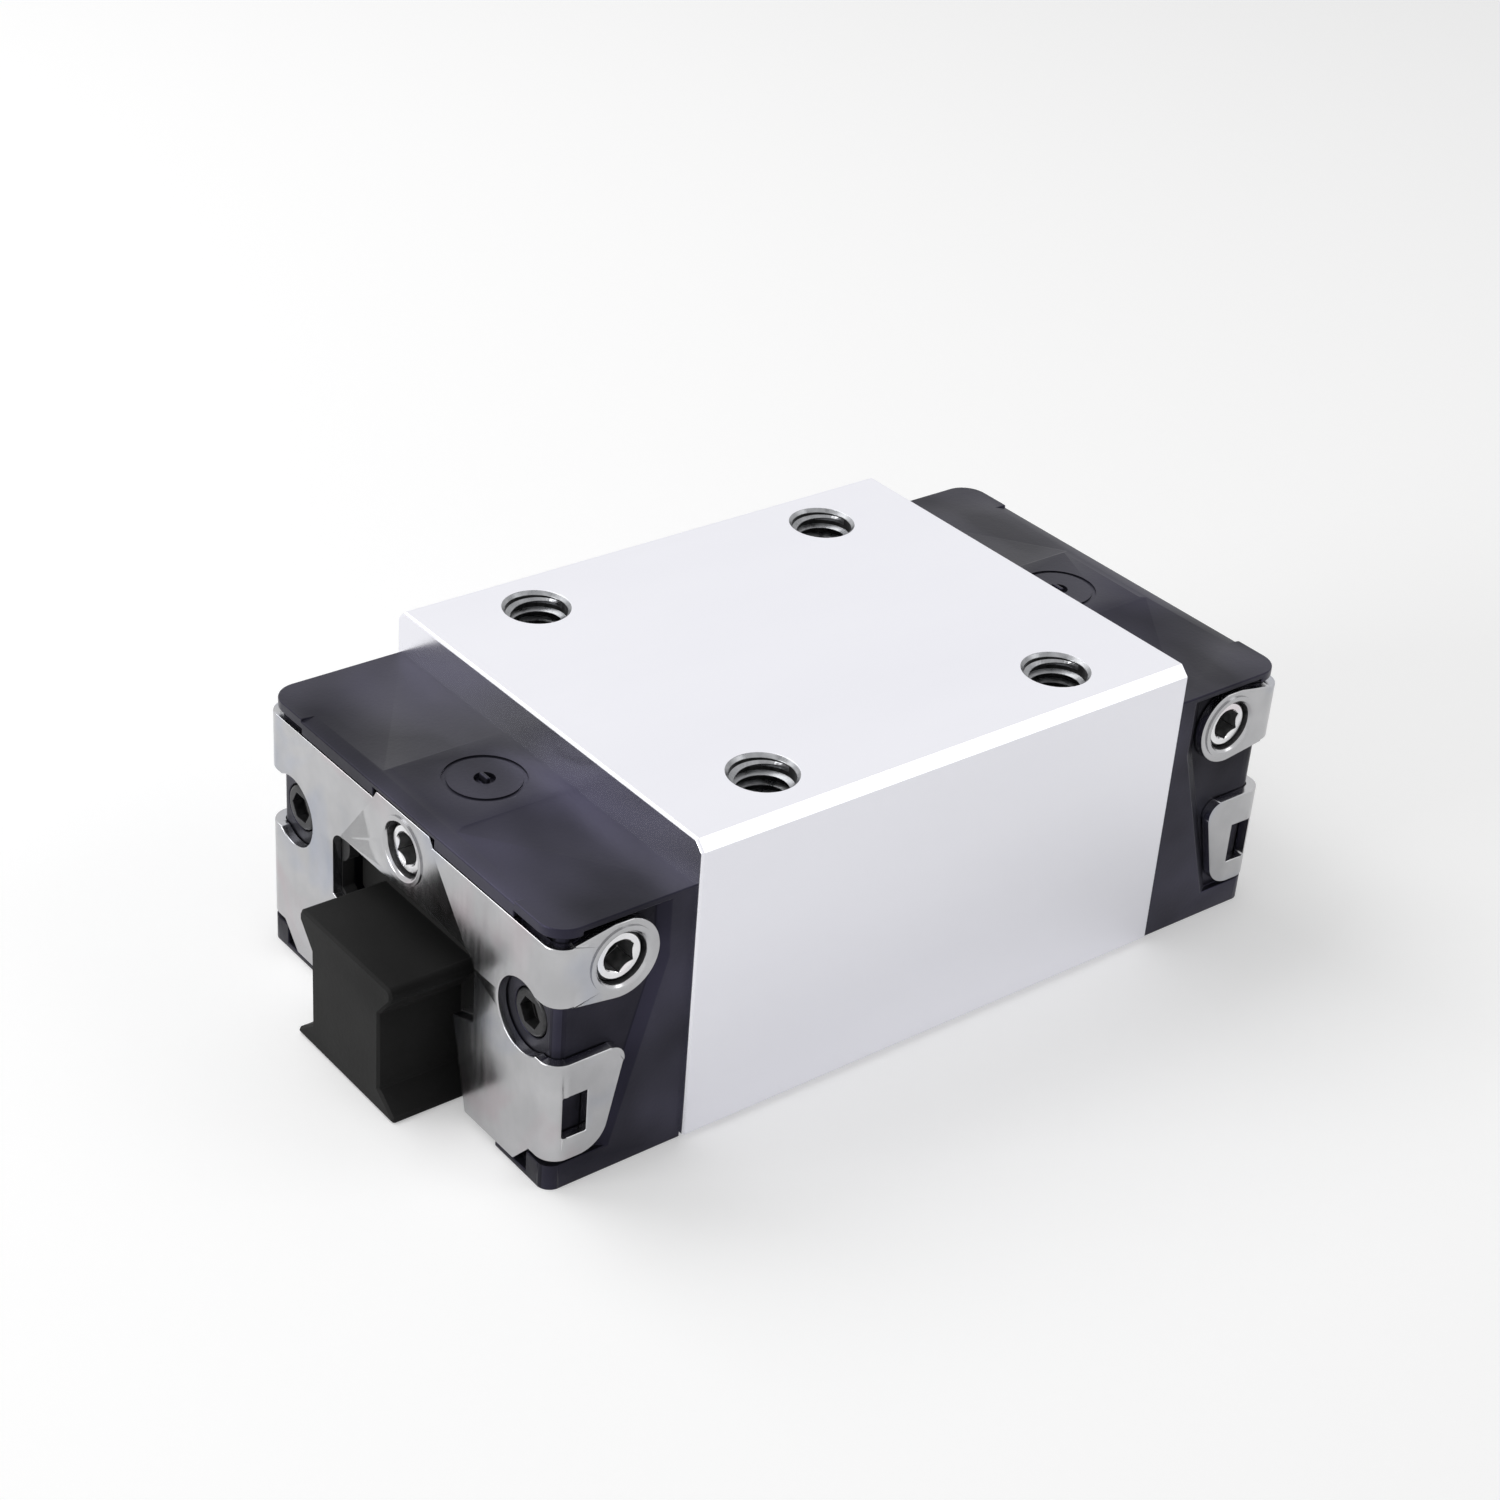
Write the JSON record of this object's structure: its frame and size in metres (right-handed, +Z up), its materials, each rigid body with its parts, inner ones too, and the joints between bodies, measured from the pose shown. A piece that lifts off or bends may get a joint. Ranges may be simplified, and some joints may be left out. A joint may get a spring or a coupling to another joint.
{
  "type": "linear ball runner block",
  "caption": "Slim recirculating-ball runner block for a profiled guide rail, with end caps, sheet end plates and a plastic transport arbor.",
  "frame": {"origin": "under the middle of the block, in the plane that the end caps and the arbor stand on", "axes": "+X along the travel, towards the rear end cap; +Y to the left side; +Z up, out of the mounting face"},
  "size_m": [0.0986, 0.048, 0.0315],
  "materials": {
    "ground_steel": "finely ground and bright, near mirror on the end faces",
    "raceway_steel": "hardened and ground",
    "ball_steel": "polished",
    "cap_plastic": "moulded black, satin, with a faint blue-violet sheen",
    "inner_plastic": "moulded dark grey, satin",
    "plate_steel": "bright plated sheet, softly reflecting, bright cut edges",
    "screw_steel": "bright plated, turned",
    "black_screw": "black oxide",
    "seal_rubber": "matt black",
    "arbor_plastic": "matt black, slightly rough"
  },
  "bodies": {
    "block": {"ball_retainer_left": "inner_plastic", "ball_retainer_right": "inner_plastic", "balls_left_lower": "ball_steel", "balls_left_upper": "ball_steel", "balls_right_lower": "ball_steel", "balls_right_upper": "ball_steel", "block_body": "ground_steel", "cap_screw_front_left": "black_screw", "cap_screw_front_right": "black_screw", "cap_screw_rear_left": "black_screw", "cap_screw_rear_right": "black_screw", "end_cap_front": "cap_plastic", "end_cap_rear": "cap_plastic", "end_plate_front": "plate_steel", "end_plate_rear": "plate_steel", "end_seal_front": "seal_rubber", "end_seal_rear": "seal_rubber", "port_screw_front_centre": "screw_steel", "port_screw_front_left": "screw_steel", "port_screw_front_right": "screw_steel", "port_screw_rear_centre": "screw_steel", "port_screw_rear_left": "screw_steel", "port_screw_rear_right": "screw_steel", "raceway_insert_left_lower": "raceway_steel", "raceway_insert_left_upper": "raceway_steel", "raceway_insert_right_lower": "raceway_steel", "raceway_insert_right_upper": "raceway_steel", "return_tube_left_lower": "inner_plastic", "return_tube_left_upper": "inner_plastic", "return_tube_right_lower": "inner_plastic", "return_tube_right_upper": "inner_plastic", "side_seal_left": "seal_rubber", "side_seal_right": "seal_rubber", "turning_guide_front_left": "inner_plastic", "turning_guide_front_right": "inner_plastic", "turning_guide_rear_left": "inner_plastic", "turning_guide_rear_right": "inner_plastic"},
    "arbor": {"transport_arbor": "arbor_plastic"}
  },
  "joints": [
    {"name": "arbor_slide", "type": "slide", "parent": "block", "child": "arbor", "axis": [1, 0, 0], "range_m": [-0.095, 0.095]}
  ]
}
